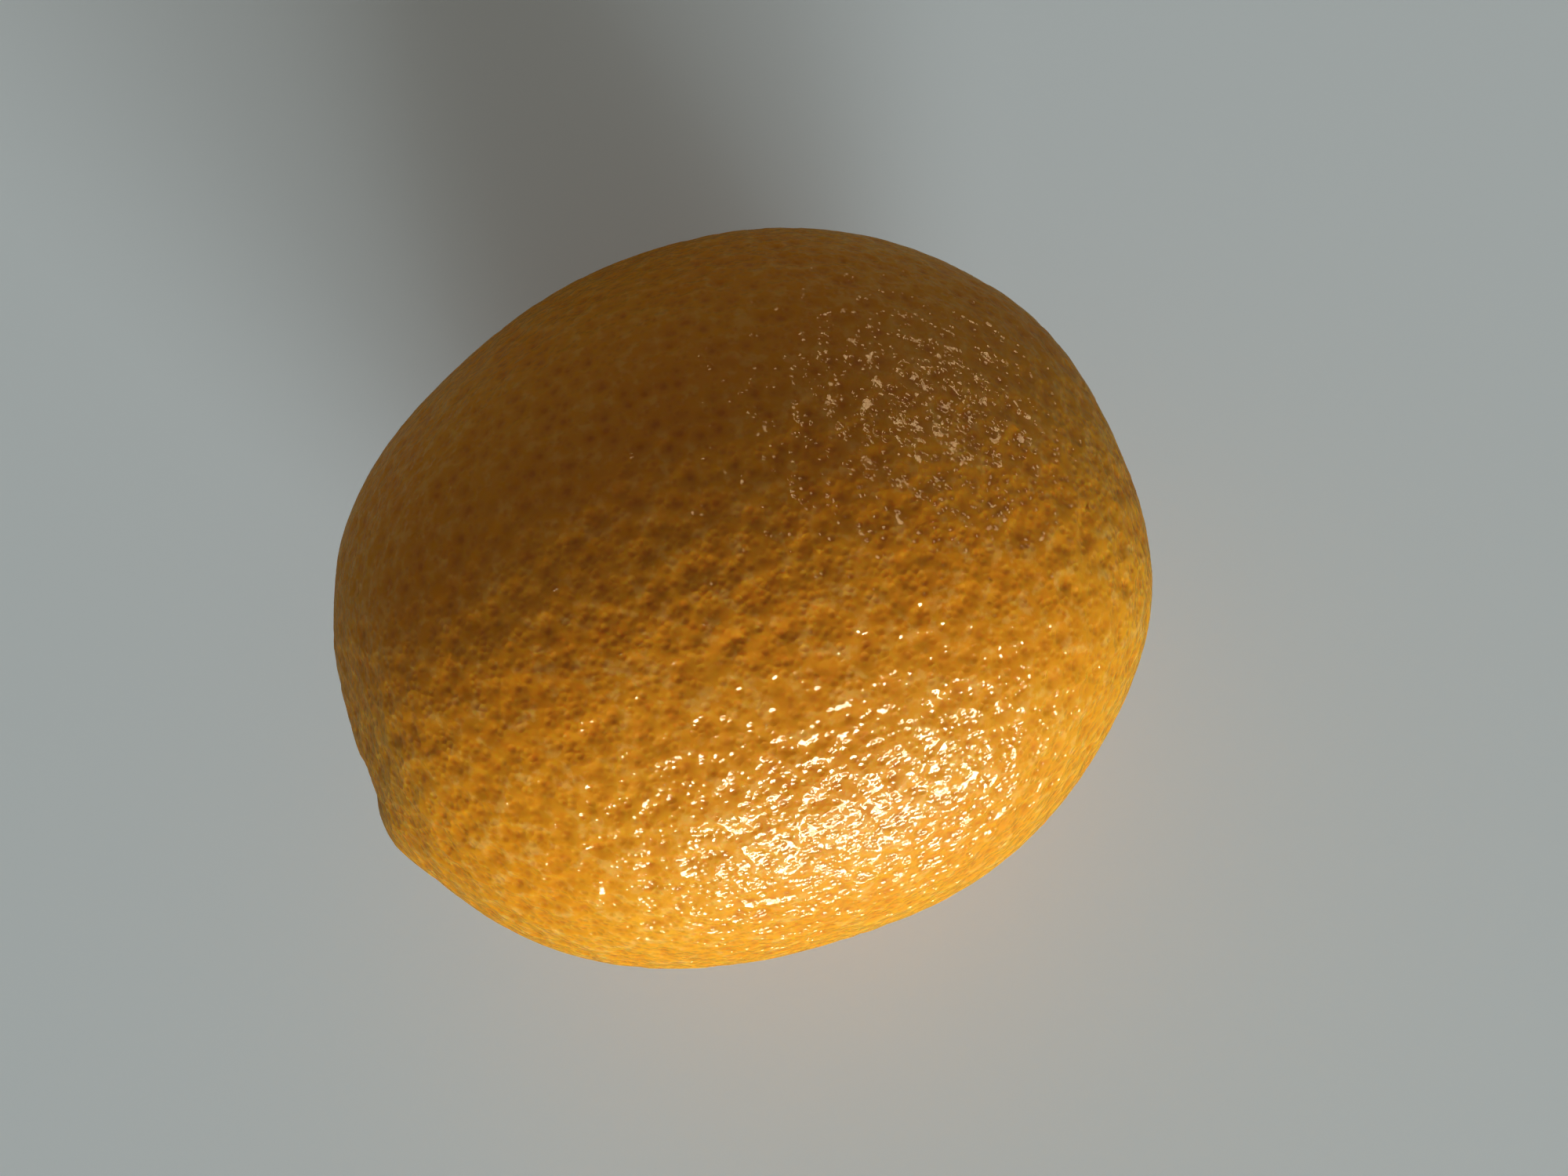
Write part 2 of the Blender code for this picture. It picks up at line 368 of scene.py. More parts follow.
def place_now(tree):
    """The position of each point at that step."""
    return add(tree, "GeometryNodeInputPosition")


index = add(peel, "GeometryNodeInputIndex")
count = given["Net Points"]
odd = calc(peel, "MULTIPLY_ADD", index, 2.0, 1.0)
level = calc(peel, "SUBTRACT", 1.0, calc(peel, "DIVIDE", odd, count))
reach = calc(peel, "SQRT", calc(peel, "SUBTRACT", 1.0, calc(peel, "MULTIPLY", level, level)))
turn = calc(peel, "MULTIPLY", index, GOLDEN_TURN)
spot_x = calc(peel, "MULTIPLY", calc(peel, "COSINE", turn), reach)
spot_y = calc(peel, "MULTIPLY", calc(peel, "SINE", turn), reach)
spot = add(peel, "ShaderNodeCombineXYZ", {"X": spot_x, "Y": spot_y, "Z": level})
spacing = calc(peel, "SQRT", calc(peel, "DIVIDE", 4.0 * math.pi, count))
push = add(
    peel,
    "FunctionNodeRandomValue",
    {"Min": (-1.0, -1.0, -1.0), "Max": (1.0, 1.0, 1.0), "ID": index, "Seed": given["Seed"]},
    data_type="FLOAT_VECTOR",
)
shaken = vector(peel, "ADD", spot, scaled(peel, push, calc(peel, "MULTIPLY", spacing, given["Net Shake"])))
on_ball = vector(peel, "NORMALIZE", shaken)
points = add(peel, "GeometryNodePoints", {"Count": count, "Position": on_ball})
net = add(peel, "GeometryNodeConvexHull", {"Geometry": points})
print("peel tree so far:", len(peel.nodes), "nodes")

# %% [markdown]
# ### Onto the fruit
#
# Each point now has only a direction that matters. The body and the ends give its distance from
# the centre. The hollows, lumps about a millimetre wide and slower swells then make the peel uneven.
# All of them fade out under the button and on the spot that the fruit rests on, where the peel is
# pressed flat. The finest relief is left to the material, because the triangles are 0.6 mm wide.

# %% Every point to its place on the fruit
HOLLOW_DEPTH = 0.18 * MM
HOLLOW_SPREAD = (0.5, 1.4)
LUMP_HEIGHT = 0.04 * MM
LUMP_SIZE = 1.0 * MM
SWELL_HEIGHT = 0.12 * MM
SWELL_SIZE = 11.0 * MM
REST_DROP = 34.28 * MM
REST_FADE = 1.2 * MM

direction = vector(peel, "NORMALIZE", place_now(peel))
form = add(peel, "GeometryNodeGroup", node_tree=body).node
feed(peel, form.inputs["Direction"], direction)
for name in ("Stem Half", "Blossom Half", "Half Width", "Bluntness"):
    feed(peel, form.inputs[name], given[name])
relief = add(peel, "GeometryNodeGroup", node_tree=ends).node
feed(peel, relief.inputs["Direction"], direction)
feed(peel, relief.inputs["From Stem"], form.outputs["From Stem"])
smooth = calc(peel, "ADD", form.outputs["Radius"], relief.outputs["Relief"])


def uneven(tree, place, height, size, detail):
    """Noise over the peel, between minus and plus half a height."""
    inputs = {"Vector": place, "Scale": calc(tree, "DIVIDE", 1.0, size), "Detail": detail}
    wave = add(tree, "ShaderNodeTexNoise", inputs)
    return calc(tree, "MULTIPLY", calc(tree, "SUBTRACT", wave, 0.5), height)


skin_place = scaled(peel, direction, SKIN)
lumps = uneven(peel, skin_place, given["Lump Height"], given["Lump Size"], 0.0)
swells = uneven(peel, skin_place, given["Swell Height"], given["Swell Size"], 0.0)
level = calc(peel, "MULTIPLY", smooth, vector(peel, "DOT_PRODUCT", direction, (0.0, 0.0, 1.0)))
clear_of_rest = ramp(peel, calc(peel, "ADD", level, given["Rest Drop"]), 0.0, REST_FADE)
clear_of_button = ramp(peel, form.outputs["From Stem"], *DIMPLE)
clear = calc(peel, "MULTIPLY", clear_of_rest, clear_of_button)
hollows = hollow_pattern(peel, skin_place)
crest = ramp(peel, hollows, HOLLOW_FROM, HOLLOW_TO)
deepness = ramp(peel, chance_of(peel, hollows), 0.0, 1.0, *HOLLOW_SPREAD)
deepest = calc(peel, "MULTIPLY", given["Hollow Depth"], deepness)
sunk = calc(peel, "MULTIPLY", calc(peel, "SUBTRACT", crest, 1.0), deepest)
rough = calc(peel, "MULTIPLY", calc(peel, "ADD", calc(peel, "ADD", lumps, swells), sunk), clear)
distance = calc(peel, "ADD", smooth, rough)
grown = move(peel, net, scaled(peel, direction, distance))

split = add(peel, "ShaderNodeSeparateXYZ", {"Vector": place_now(peel)}).node
level = calc(peel, "MAXIMUM", split.outputs["Z"], calc(peel, "MULTIPLY", given["Rest Drop"], -1.0))
pressed = add(peel, "ShaderNodeCombineXYZ", {"X": split.outputs["X"], "Y": split.outputs["Y"], "Z": level})
grown = move(peel, grown, pressed)
grown = add(peel, "GeometryNodeSetShadeSmooth", {"Geometry": grown})
grown = add(peel, "GeometryNodeRealizeInstances", {"Geometry": grown})
grown = add(peel, "GeometryNodeSetMaterial", {"Geometry": grown, "Material": given["Peel"]})
feed(peel, result["Geometry"], grown)
print("peel tree:", len(peel.nodes), "nodes")

# %% [markdown]
# ## From a tree to a plain mesh
#
# A Geometry Nodes tree runs as a modifier. Its inputs are set before it first runs, its result is
# copied to a plain mesh, and the modifier goes. What is left is an ordinary object.

# %% Helpers: grow a mesh from a tree, and measure it
def grow(name, tree, settings):
    """Runs a tree as a modifier with its inputs set, and keeps the result as a plain mesh."""
    grower = bpy.data.objects.new(name, bpy.data.meshes.new(name))
    bpy.context.scene.collection.objects.link(grower)
    modifier = grower.modifiers.new("Grow", "NODES")
    modifier.node_group = tree
    for item in tree.interface.items_tree:
        if item.in_out == "INPUT" and item.name in settings:
            modifier[item.identifier] = settings[item.name]
    view = bpy.context.evaluated_depsgraph_get()
    mesh = bpy.data.meshes.new_from_object(grower.evaluated_get(view))
    grower.modifiers.clear()
    grower.data = mesh
    mesh.name = name
    return grower


def mesh_box(mesh):
    """Lowest and highest corner of a mesh."""
    places = np.zeros(len(mesh.vertices) * 3)
    mesh.vertices.foreach_get("co", places)
    places = places.reshape(-1, 3)
    return Vector(places.min(axis=0)), Vector(places.max(axis=0))


def triangles(mesh):
    """Number of triangles in a mesh."""
    return sum(len(face.vertices) - 2 for face in mesh.polygons)


def in_mm(place):
    """A place in millimetres, rounded for a print."""
    return [round(value / MM, 2) for value in place]


# %% [markdown]
# ## Grow the fruit and seat it
#
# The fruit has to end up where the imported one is. So it is shrunk by a hair if a crest stands past
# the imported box, centred on it from side to side, and set down on the same floor. The tree needs the
# peel's material, so both materials are made here, still empty, and filled in further down.

# %% Grow the fruit
peel_finish = bpy.data.materials.new("waxy_peel")
calyx_finish = bpy.data.materials.new("dry_calyx")
orange = grow(
    "orange_fruit",
    peel,
    {
        "Net Points": NET_POINTS,
        "Net Shake": NET_SHAKE,
        "Hollow Depth": HOLLOW_DEPTH,
        "Lump Height": LUMP_HEIGHT,
        "Lump Size": LUMP_SIZE,
        "Swell Height": SWELL_HEIGHT,
        "Swell Size": SWELL_SIZE,
        "Stem Half": STEM_HALF,
        "Blossom Half": BLOSSOM_HALF,
        "Half Width": HALF_WIDTH,
        "Bluntness": BLUNTNESS,
        "Rest Drop": REST_DROP,
        "Seed": NET_SEED,
        "Peel": peel_finish,
    },
)
fruit_low, fruit_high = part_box("orange")
low, high = mesh_box(orange.data)
fit = min((fruit_high - fruit_low)[axis] / (high - low)[axis] for axis in range(3))
fit = min(fit, 1.0)
orange.data.transform(Matrix.Scale(fit, 4))
low, high = mesh_box(orange.data)
centre = (fruit_low + fruit_high) / 2.0 - (low + high) / 2.0
centre.z = fruit_low.z - low.z
orange.data.transform(Matrix.Translation(centre))
print("scale to fit the packed box:", round(fit, 4))
print("points kept by the hull:", len(orange.data.vertices), "of", NET_POINTS)
print("fruit:", triangles(orange.data), "triangles, centre at mm", in_mm(centre))
print("fruit box mm", [in_mm(corner) for corner in mesh_box(orange.data)])
print("packed box mm", in_mm(fruit_low), in_mm(fruit_high))

# %% [markdown]
# ## Helpers for materials
#
# Three steps come back in each material: an empty Principled shader to fill, a mix of two colours
# by a mask, and a bump that turns a height in millimetres into a tilted normal.

# %% Helpers: start a material, mix two colours, bump
def start_material(material):
    """Clears a material and gives its tree and its Principled shader."""
    material.use_nodes = True
    tree = material.node_tree
    tree.nodes.clear()
    shader = tree.nodes.new("ShaderNodeBsdfPrincipled")
    output = tree.nodes.new("ShaderNodeOutputMaterial")
    tree.links.new(shader.outputs["BSDF"], output.inputs["Surface"])
    return tree, shader


def blend_colours(tree, share, first, second):
    """Mixes two colours. The Mix node's inputs 6 and 7 and its output 2 are its colours."""
    node = tree.nodes.new("ShaderNodeMix")
    node.data_type = "RGBA"
    feed(tree, node.inputs["Factor"], share)
    feed(tree, node.inputs[6], first)
    feed(tree, node.inputs[7], second)
    return node.outputs[2]


def bumped(tree, height):
    """A normal tilted by a height in millimetres."""
    inputs = {"Strength": 1.0, "Distance": 1.0 * MM, "Height": height}
    return add(tree, "ShaderNodeBump", inputs, take="Normal")


print("material helpers ready")

# %% [markdown]
# ## Node group: skin grain
#
# Both the peel and the calyx have a very fine grain and a broader mottle. One group makes both, so
# each material only sets its own size and height.

# %% Node group for grain and mottle
MOTTLE_WIDTH = 6.0
MOTTLE_EDGE = (0.35, 0.65)

grain_group, given, result = new_group(
    "Skin Grain",
    "ShaderNodeTree",
    [("Place", VECTOR), ("Size", FLOAT), ("Height", FLOAT)],
    [("Grain", FLOAT), ("Mottle", FLOAT)],
)
per_metre = calc(grain_group, "DIVIDE", 1.0, given["Size"])
fine_inputs = {"Vector": given["Place"], "Scale": per_metre, "Detail": 2.0}
fine = add(grain_group, "ShaderNodeTexNoise", fine_inputs)
feed(grain_group, result["Grain"], calc(grain_group, "MULTIPLY", fine, given["Height"]))
per_patch = calc(grain_group, "DIVIDE", per_metre, MOTTLE_WIDTH)
patch_inputs = {"Vector": given["Place"], "Scale": per_patch, "Detail": 2.0}
patch = add(grain_group, "ShaderNodeTexNoise", patch_inputs)
feed(grain_group, result["Mottle"], ramp(grain_group, patch, *MOTTLE_EDGE))


def grained(tree, place, size, height):
    """Places the grain group in a material with its own values."""
    node = add(tree, "ShaderNodeGroup", node_tree=grain_group).node
    for name, value in {"Place": place, "Size": size, "Height": height}.items():
        feed(tree, node.inputs[name], value)
    return node.outputs


print("grain group:", len(grain_group.nodes), "nodes")

# %% [markdown]
# ## The peel's fine relief
#
# Peel is an orange rind that light sinks into, under a thin clear wax. The two don't look equally
# rough. Light that comes out of the rind has spread sideways, so it shows the relief softly. The
# wax mirrors the windows, so it shows every gland and crest as a sharp glint.
#
# The Principled shader's coat is that wax, and it takes a normal of its own. So one height, of
# small glands and folds, goes in full to the coat, with the crests between the hollows on top, and
# at a part of its strength, with a fine grain, to the body below.

# %% Peel material: heights for the wax and for the body
GLAND_SIZE = 0.66 * MM
GLAND_EDGE = (0.08, 0.65)
GLAND_DEPTH = 0.062
GLAND_SPREAD = (0.7, 1.5)
FOLD_SIZE = 1.0 * MM
FOLD_HEIGHT = 0.09
CREST_EDGE = (0.35, 0.95)
CREST_HEIGHT = 0.14
SOFTER = 0.6
GRAIN_SIZE = 0.22 * MM
GRAIN_HEIGHT = 0.008

tree, shader = start_material(peel_finish)
place = add(tree, "ShaderNodeTexCoord", take="Object")
from_middle = vector(tree, "NORMALIZE", vector(tree, "SUBTRACT", place, centre))
skin_place = scaled(tree, from_middle, SKIN)
from_pore = hollow_pattern(tree, skin_place)
from_gland = scattered(tree, skin_place, GLAND_SIZE)
glands = ramp(tree, from_gland, *GLAND_EDGE)
folds = noise_at(tree, skin_place, FOLD_SIZE, 0.0)
crests = ramp(tree, from_pore, *CREST_EDGE)
grain = grained(tree, skin_place, GRAIN_SIZE, GRAIN_HEIGHT)
deepness = ramp(tree, chance_of(tree, from_gland), 0.0, 1.0, *GLAND_SPREAD)
gland_pits = calc(tree, "MULTIPLY", calc(tree, "SUBTRACT", glands, 1.0), deepness)
gland_height = calc(tree, "MULTIPLY", gland_pits, GLAND_DEPTH)
height = calc(tree, "MULTIPLY_ADD", folds, FOLD_HEIGHT, gland_height)
wax_height = calc(tree, "MULTIPLY_ADD", crests, CREST_HEIGHT, height)
feed(tree, shader.inputs["Coat Normal"], bumped(tree, wax_height))
body_height = calc(tree, "MULTIPLY_ADD", height, SOFTER, grain["Grain"])
feed(tree, shader.inputs["Normal"], bumped(tree, body_height))
print("peel relief:", len(tree.nodes), "nodes")

# %% [markdown]
# ## The peel's colour
#
# The colour wanders in broad patches, as on a fruit that ripened unevenly. Each gland is a deeper
# orange than the skin round it. Each hollow is painted darker towards its pore, which is painted
# shade, and broken pale wisps along the crests are a painted sheen. Each pore is a dark dot, the stem
# end keeps a green tinge, and the flower left a brown scar.
#
# Each ramp below is given as start, end, value at the start and value at the end.

# %% Peel material: colour
RIPE = (0.85, 0.345, 0.010, 1.0)
DEEP = (0.83, 0.310, 0.006, 1.0)
PORE = (0.62, 0.17, 0.003, 1.0)
# Deeper orange for the glands, also used as painted shade in the hollows.
DEEP_GLAND_AND_PAINTED_SHADE = (0.70, 0.215, 0.004, 1.0)
# Pale beige painted sheen along the crests, standing in for light that the crests catch.
CREST_PAINTED_SHEEN = (0.95, 0.50, 0.10, 1.0)
GREEN_TINGE = (0.60, 0.36, 0.03, 1.0)
SCAR = (0.42, 0.22, 0.06, 1.0)
PATCH_SIZE = 12.0 * MM
PATCH_EDGE = (0.35, 0.65)
HOLLOW_PAINTED_SHADE = (0.1, 0.55, 0.45, 0.0)
GLAND_SHADE = (0.1, 0.42, 0.45, 0.0)
PAINTED_SHEEN_SIZE = 1.1 * MM
PAINTED_SHEEN_DETAIL = 3.0
PAINTED_SHEEN_BREAKS = (0.48, 0.64)
PAINTED_SHEEN_RISE = (0.35, 0.7, 0.0, 0.5)
PORE_SHADE = (0.05, 0.25, 0.6, 0.0)
TINGE_RISE = (0.93, 0.995, 0.0, 0.55)
SCAR_RISE = (-0.9985, -0.9997, 0.0, 0.8)

patches = ramp(tree, noise_at(tree, skin_place, PATCH_SIZE), *PATCH_EDGE)
colour = blend_colours(tree, patches, RIPE, DEEP)
# The hollows are painted darker towards their pores: painted shade.
colour = blend_colours(tree, ramp(tree, from_pore, *HOLLOW_PAINTED_SHADE), colour, DEEP_GLAND_AND_PAINTED_SHADE)
colour = blend_colours(tree, ramp(tree, from_gland, *GLAND_SHADE), colour, DEEP_GLAND_AND_PAINTED_SHADE)
# Broken pale wisps on the crests: a painted sheen.
painted_sheen_breaks = ramp(tree, noise_at(tree, skin_place, PAINTED_SHEEN_SIZE, PAINTED_SHEEN_DETAIL), *PAINTED_SHEEN_BREAKS)
painted_sheen = calc(tree, "MULTIPLY", ramp(tree, from_pore, *PAINTED_SHEEN_RISE), painted_sheen_breaks)
colour = blend_colours(tree, painted_sheen, colour, CREST_PAINTED_SHEEN)
colour = blend_colours(tree, ramp(tree, from_pore, *PORE_SHADE), colour, PORE)
stemward = vector(tree, "DOT_PRODUCT", from_middle, STEM)
green = calc(tree, "MULTIPLY", ramp(tree, stemward, *TINGE_RISE), grain["Mottle"])
colour = blend_colours(tree, green, colour, GREEN_TINGE)
colour = blend_colours(tree, ramp(tree, stemward, *SCAR_RISE), colour, SCAR)
feed(tree, shader.inputs["Base Color"], colour)
print("peel colour:", len(tree.nodes), "nodes")

# %% [markdown]
# ## Wax and scattering
#
# The wax isn't even. It is thinner along winding lines halfway up the folds, where they cross the
# skin between the glands. There the coat is weaker and the body a little rougher, which breaks the
# big highlight into pieces.
#
# Red light travels farthest under the peel and blue hardly at all, so the scattering radius is
# greatest in red.

# %% Peel material: wax, gloss and scattering
FOLD_LINE = 0.18
RUBBED_EDGE = (0.35, 0.75)
BODY_ROUGHNESS = (0.45, 0.6)
WAX_WEIGHT = (0.8, 0.42)

middle = calc(tree, "SUBTRACT", folds, 0.5)
lines = ramp(tree, calc(tree, "ABSOLUTE", middle), 0.0, FOLD_LINE, 1.0, 0.0)
rubbed = calc(tree, "MULTIPLY", lines, ramp(tree, from_gland, *RUBBED_EDGE))
feed(tree, shader.inputs["Roughness"], ramp(tree, rubbed, 0.0, 1.0, *BODY_ROUGHNESS))
feed(tree, shader.inputs["Coat Weight"], ramp(tree, rubbed, 0.0, 1.0, *WAX_WEIGHT))
shader.inputs["Specular IOR Level"].default_value = 0.08
shader.inputs["Coat Roughness"].default_value = 0.08
shader.inputs["Subsurface Weight"].default_value = 1.0
shader.inputs["Subsurface Radius"].default_value = (1.0, 0.5, 0.12)
shader.inputs["Subsurface Scale"].default_value = 0.45 * MM
print("peel material:", len(tree.nodes), "nodes")

# %% [markdown]
# ## The button in the stem end
#
# A picked orange keeps its calyx: a dry star of five short blunt lobes with the stub of the stem in
# the middle. It is small and has one shape only, so its mesh is written ring by ring. Each ring is a
# share of the edge's radius and a height in millimetres: up round the lobes, over the swollen plate,
# up the stub, and down into the stub's hollow end.

# %% Button sizes
BUTTON_SIDES = 180
BUTTON_LOBES = 5
BUTTON_RADIUS = 3.5 * MM
LOBE_REACH = 0.6 * MM
LOBE_SHARPNESS = 1.5
LOBED_FROM = 0.40
BUTTON_RINGS = (
    (0.86, -0.30), (0.97, 0.02), (1.0, 0.18), (0.99, 0.32), (0.95, 0.40), (0.89, 0.42), (0.83, 0.43),
    (0.77, 0.47), (0.71, 0.55), (0.65, 0.65), (0.59, 0.74), (0.53, 0.80), (0.48, 0.83), (0.44, 0.85),
    (0.41, 0.88), (0.385, 0.96), (0.37, 1.10), (0.362, 1.30), (0.358, 1.50), (0.350, 1.66), (0.325, 1.76),
    (0.285, 1.76), (0.24, 1.68), (0.19, 1.58), (0.14, 1.52), (0.09, 1.50), (0.04, 1.50),
)
WRINKLE_TURNS = 115.0 / 6.0
WRINKLE_ALONG = 0.6
WRINKLE_HEIGHT = 0.10 * MM
ROUGH_SCALE = 1500.0
ROUGH_HEIGHT = 0.06 * MM
FIBRE_SCALE = 4200.0
FIBRE_HEIGHT = 0.14 * MM
STUB_TOP = (0.02, 0.36)
STUB_TOP_ABOVE = 1.4
DIMPLE_FLOOR_AT = 35.55 * MM
print("button:", len(BUTTON_RINGS), "rings of", BUTTON_SIDES, "points")


# %% Button mesh
def button_edge(around):
    """Edge of the calyx: a round plate with five short blunt lobes."""
    lobe = 0.5 + 0.5 * math.cos(BUTTON_LOBES * around)
    return BUTTON_RADIUS + LOBE_REACH * lobe ** LOBE_SHARPNESS


def calyx_point(share, height, around):
    """One point of the button: lobed and wrinkled outside, round and frayed on the stub."""
    lobed = min(max((share - LOBED_FROM) / (1.0 - LOBED_FROM), 0.0), 1.0)
    edge = BUTTON_RADIUS + (button_edge(around) - BUTTON_RADIUS) * lobed
    point = Vector((math.cos(around) * share * edge, math.sin(around) * share * edge, height * MM))
    turn_place = Vector((math.cos(around), math.sin(around), share * WRINKLE_ALONG))
    wrinkle = noise.noise(turn_place * WRINKLE_TURNS)
    point.z += WRINKLE_HEIGHT * wrinkle * lobed ** 0.5
    point.z += ROUGH_HEIGHT * noise.noise(point * ROUGH_SCALE)
    if STUB_TOP[0] < share < STUB_TOP[1] and height > STUB_TOP_ABOVE:
        point.z += FIBRE_HEIGHT * noise.noise(point * FIBRE_SCALE)
    return point


def calyx_mesh():
    """The button on its own z = 0, ring by ring, closed above and below."""
    shell = bmesh.new()
    turns = [2.0 * math.pi * step / BUTTON_SIDES for step in range(BUTTON_SIDES)]
    rings = []
    for share, height in BUTTON_RINGS:
        rings.append([shell.verts.new(calyx_point(share, height, around)) for around in turns])
    for lower, upper in zip(rings, rings[1:]):
        for step in range(BUTTON_SIDES):
            after = (step + 1) % BUTTON_SIDES
            shell.faces.new((lower[step], lower[after], upper[after], upper[step]))
    shell.faces.new(list(reversed(rings[0])))
    shell.faces.new(rings[-1])
    mesh = bpy.data.meshes.new("calyx")
    shell.to_mesh(mesh)
    shell.free()
    return mesh


calyx = calyx_mesh()
calyx.transform(Matrix((SIDE, UPPER, STEM)).transposed().to_4x4())
calyx.transform(Matrix.Translation(centre + STEM * DIMPLE_FLOOR_AT))
calyx.shade_smooth()
calyx.materials.append(calyx_finish)
button = bpy.data.objects.new("calyx_button", calyx)
bpy.context.scene.collection.objects.link(button)
print("button box mm", [in_mm(corner) for corner in mesh_box(calyx)])

# %% [markdown]
# ## The dry calyx
#
# The calyx was green and has dried to a dull olive and tan, with pale fibres that run out along the
# lobes. The torn end of the stem is paler still, and a dark crack goes round its foot. The streaks
# are noise in a place that changes quickly round the button and slowly outwards.

# %% Calyx material
DRY_GREEN = (0.13, 0.12, 0.035, 1.0)
DRY_TAN = (0.33, 0.25, 0.11, 1.0)
FIBRE_PALE = (0.50, 0.40, 0.22, 1.0)
RIM_DARK = (0.07, 0.045, 0.018, 1.0)
STREAK_SIZE = 0.12
STREAK_SLANT = 120.0
STREAK_HEIGHT = 0.08
STREAK_SHADE = (0.5, 0.7, 0.0, 0.6)
STUB_SHADE = (0.36, 0.30, 0.0, 0.75)
CRACK_INSIDE = (0.34, 0.40)
CRACK_OUTSIDE = (0.52, 0.42)
CRACK_DARKNESS = 0.7
DRY_ROUGHNESS = (0.3, 0.7, 0.9, 0.7)
DRY_GRAIN_SIZE = 0.18 * MM
DRY_GRAIN_HEIGHT = 0.05

tree, shader = start_material(calyx_finish)
place = add(tree, "ShaderNodeTexCoord", take="Object")
offset = vector(tree, "SUBTRACT", place, centre + STEM * DIMPLE_FLOOR_AT)
sideways = vector(tree, "DOT_PRODUCT", offset, SIDE)
upwards = vector(tree, "DOT_PRODUCT", offset, UPPER)
flat = add(tree, "ShaderNodeCombineXYZ", {"X": sideways, "Y": upwards, "Z": 0.0})
out = calc(tree, "DIVIDE", vector(tree, "LENGTH", flat), BUTTON_RADIUS)
slanted = scaled(tree, flat, STREAK_SLANT)
streak_place = vector(tree, "ADD", vector(tree, "NORMALIZE", flat), slanted)
streaks = noise_at(tree, streak_place, STREAK_SIZE, 3.0)
grain = grained(tree, place, DRY_GRAIN_SIZE, DRY_GRAIN_HEIGHT)
colour = blend_colours(tree, grain["Mottle"], DRY_GREEN, DRY_TAN)
colour = blend_colours(tree, ramp(tree, streaks, *STREAK_SHADE), colour, FIBRE_PALE)
colour = blend_colours(tree, ramp(tree, out, *STUB_SHADE), colour, FIBRE_PALE)
crack = calc(tree, "MULTIPLY", ramp(tree, out, *CRACK_INSIDE), ramp(tree, out, *CRACK_OUTSIDE))
colour = blend_colours(tree, calc(tree, "MULTIPLY", crack, CRACK_DARKNESS), colour, RIM_DARK)
feed(tree, shader.inputs["Base Color"], colour)
feed(tree, shader.inputs["Roughness"], ramp(tree, streaks, *DRY_ROUGHNESS))
height = calc(tree, "MULTIPLY_ADD", streaks, STREAK_HEIGHT, grain["Grain"])
feed(tree, shader.inputs["Normal"], bumped(tree, height))
print("calyx material:", len(tree.nodes), "nodes")

# %% [markdown]
# ## Tie the pieces to the imported model
#
# Nothing on an orange moves, so both pieces ride on its one body. Each stands for one imported node,
# which is hidden.

# %% Ride on the imported body
for piece, node, slot in ((orange, "orange", "peel"), (button, "stem_button", "calyx")):
    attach(piece, "root")
    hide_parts(node)
    print(piece.name, "stands for", node)

# %% [markdown]
# ## The floor
#
# The fruit lies on a plain pale surface. To the camera the floor is cool and bright. If it threw
# that same light back at the fruit, the fruit's edges would turn green, so every other kind of ray
# meets a darker and warmer floor. This is a studio trick, and only the stage has it.

# %% Floor
FLOOR_RADIUS = 3.0
FLOOR_SEEN = (0.85, 0.92, 0.96, 1.0)
FLOOR_BOUNCE = (0.48, 0.35, 0.19, 1.0)
FLOOR_GLOW = 0.045

floor_mesh = bpy.data.meshes.new("pale_floor")
disc = bmesh.new()
bmesh.ops.create_circle(disc, cap_ends=True, radius=FLOOR_RADIUS, segments=96)
disc.to_mesh(floor_mesh)
disc.free()
floor = bpy.data.objects.new("pale_floor", floor_mesh)
bpy.context.scene.collection.objects.link(floor)
floor_finish = bpy.data.materials.new("pale_floor")
tree, shader = start_material(floor_finish)
to_camera = add(tree, "ShaderNodeLightPath", take="Is Camera Ray")
seen = ramp(tree, to_camera, 0.0, 1.0)
feed(tree, shader.inputs["Base Color"], blend_colours(tree, seen, FLOOR_BOUNCE, FLOOR_SEEN))
shader.inputs["Roughness"].default_value = 0.9
shader.inputs["Specular IOR Level"].default_value = 0.2
shader.inputs["Emission Color"].default_value = (0.92, 1.0, 0.97, 1.0)
feed(tree, shader.inputs["Emission Strength"], ramp(tree, to_camera, 0.0, 1.0, 0.0, FLOOR_GLOW))
floor_mesh.materials.append(floor_finish)
print("floor radius m", FLOOR_RADIUS)

# %% [markdown]
# ## The camera
#
# The camera looks straight down from close by. A lens that wide and that close makes the middle of
# the fruit swell towards the viewer. The focal length is an assumed one, in pixels of a picture 2000
# pixels wide, and it is turned into millimetres on a sensor 36 mm wide.

# %% Camera
PHOTO_WIDTH = 2000
FOCAL_PIXELS = 1386.0
SENSOR_WIDTH = 36.0
CAMERA_HEIGHT = 110.0 * MM
CAMERA_ASIDE = Vector((4.8 * MM, 0.8 * MM, 0.0))

lens = bpy.data.cameras.new("camera")
lens.sensor_fit = "HORIZONTAL"
lens.sensor_width = SENSOR_WIDTH
lens.lens = FOCAL_PIXELS / PHOTO_WIDTH * SENSOR_WIDTH
lens.clip_start = 0.005
lens.clip_end = 20.0
camera = bpy.data.objects.new("camera", lens)
camera.location = centre + CAMERA_ASIDE + Vector((0.0, 0.0, CAMERA_HEIGHT))
bpy.context.scene.collection.objects.link(camera)
bpy.context.scene.camera = camera
print("camera at mm", in_mm(camera.location), "lens mm", round(lens.lens, 2))

# %% [markdown]
# ## The lights
#
# Low windows on one side light the fruit, and leave its other half in a long soft shade. What the
# windows do to the rind and what they do to the wax are set apart. The windows and a pale far wall
# light the scene but aren't mirrored, and the glare panels are mirrored but light nothing. A glare
# panel in the same place as a window would lose most of its strength, so the two stand a metre
# nearer. The third gives the small sheen on the shaded side.

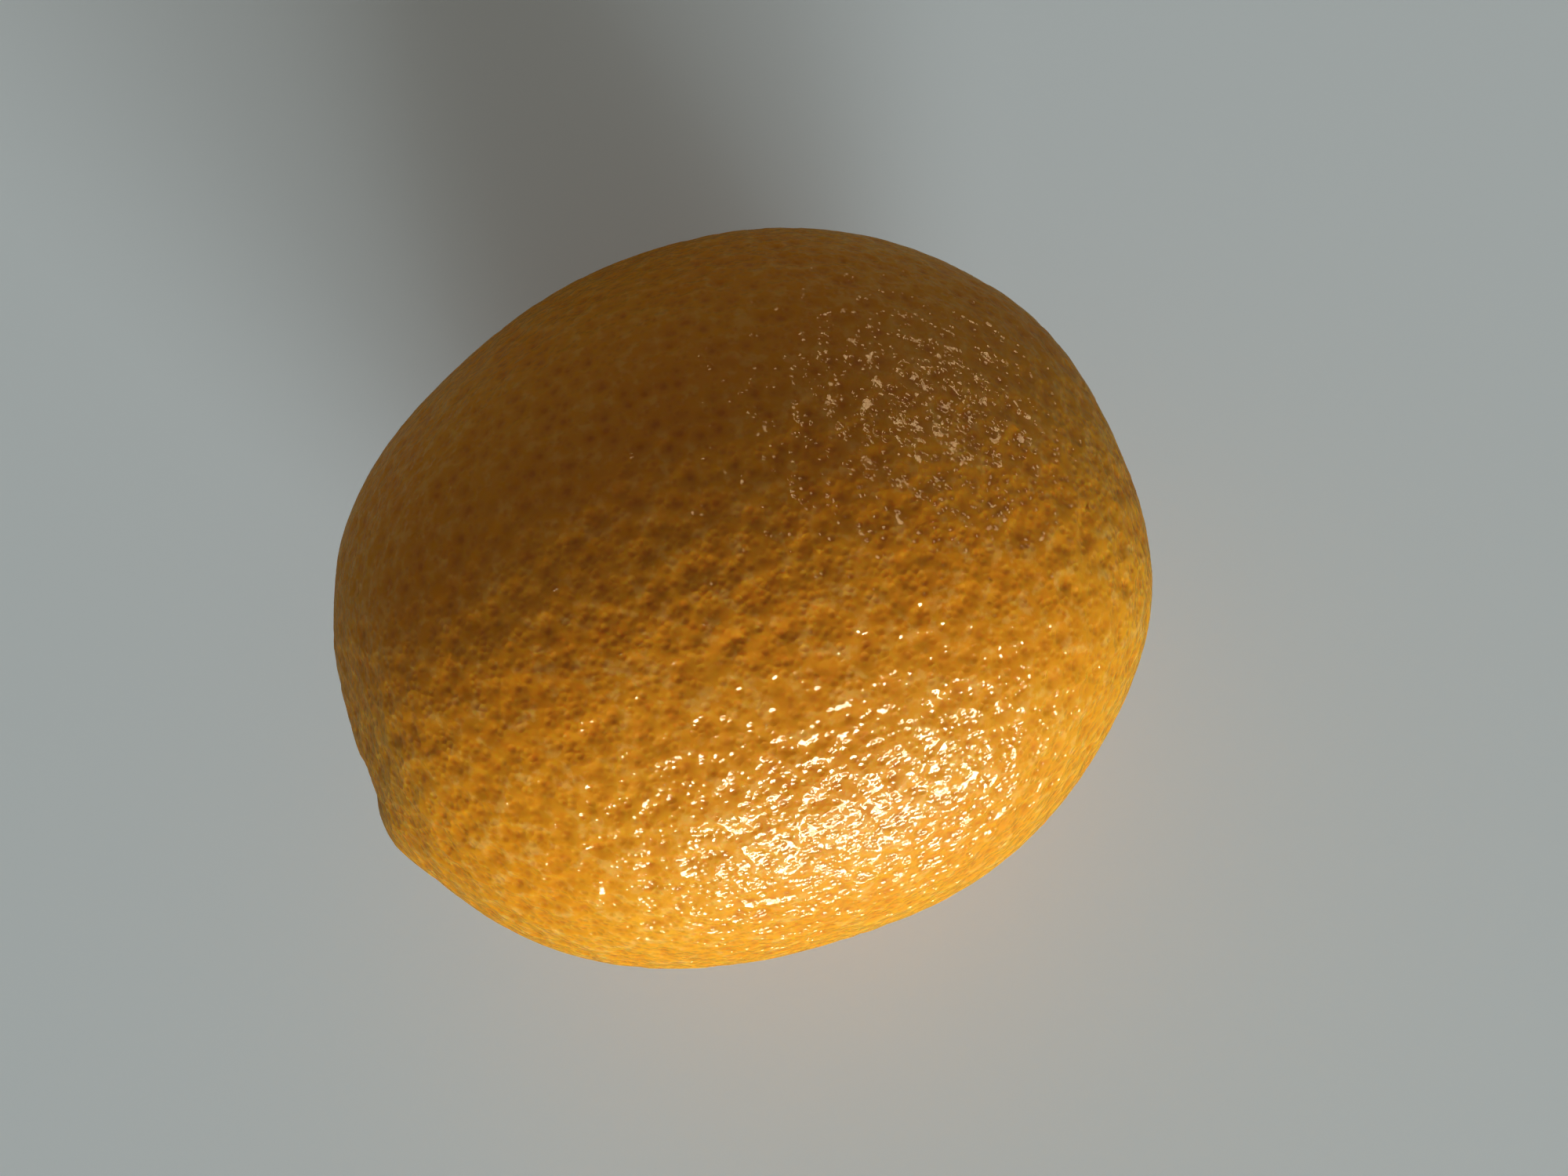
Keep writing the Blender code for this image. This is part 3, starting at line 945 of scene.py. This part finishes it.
# %% Lights
def soft_light(name, azimuth, elevation, distance, width, height, power, colour):
    """A rectangular soft light that faces the fruit from a direction."""
    data = bpy.data.lights.new(name, "AREA")
    data.shape = "RECTANGLE"
    data.size = width
    data.size_y = height
    data.energy = power
    data.color = colour
    light = bpy.data.objects.new(name, data)
    away = unit_direction(azimuth, elevation)
    light.location = centre + away * distance
    light.rotation_euler = away.to_track_quat("Z", "Y").to_euler()
    light.visible_camera = False
    bpy.context.scene.collection.objects.link(light)
    return light


DAYLIGHT = (0.93, 1.0, 1.0)
GLARE = (1.0, 0.98, 0.70)
WALL = (1.0, 0.94, 0.85)
WARM_GLARE = (1.0, 0.68, 0.36)

# Name, azimuth and elevation in degrees, distance, width and height in metres, watts and colour.
WINDOWS = (
    ("window_left", -76.0, 6.0, 6.0, 1.7, 1.0, 222.0, DAYLIGHT),
    ("window_right", -57.0, 6.0, 6.0, 1.7, 1.0, 148.0, DAYLIGHT),
    ("window_top", -66.0, 20.0, 6.0, 3.8, 1.2, 135.0, DAYLIGHT),
    ("far_wall", 110.0, 12.0, 6.0, 4.0, 2.0, 12.0, WALL),
)
GLARES = (
    ("glare_left", -77.0, 9.0, 5.0, 1.5, 1.3, 190.0, GLARE),
    ("glare_right", -55.0, 9.0, 5.0, 1.9, 1.3, 255.0, GLARE),
    ("upper_right", 50.0, 22.0, 2.0, 0.9, 0.4, 8.0, WARM_GLARE),
)
for panel in WINDOWS:
    soft_light(*panel).visible_glossy = False
for panel in GLARES:
    soft_light(*panel).visible_diffuse = False
print("lights:", len(WINDOWS) + len(GLARES))

# %% [markdown]
# ## The room round it
#
# A warm, dim room fills the shade. The camera would see it beyond the floor's edge in a side view,
# so it looks brighter there than the light that it gives.

# %% World
ROOM_COLOUR = (1.0, 0.93, 0.8, 1.0)
ROOM_FILL = 0.115
ROOM_SEEN = 0.5

world = bpy.data.worlds.new("soft_room")
bpy.context.scene.world = world
world.use_nodes = True
room = world.node_tree
backdrop = room.nodes["Background"]
backdrop.inputs["Color"].default_value = ROOM_COLOUR
to_camera = add(room, "ShaderNodeLightPath", take="Is Camera Ray")
feed(room, backdrop.inputs["Strength"], ramp(room, to_camera, 0.0, 1.0, ROOM_FILL, ROOM_SEEN))
bpy.context.scene.view_settings.view_transform = "Standard"
print("room fill", ROOM_FILL)
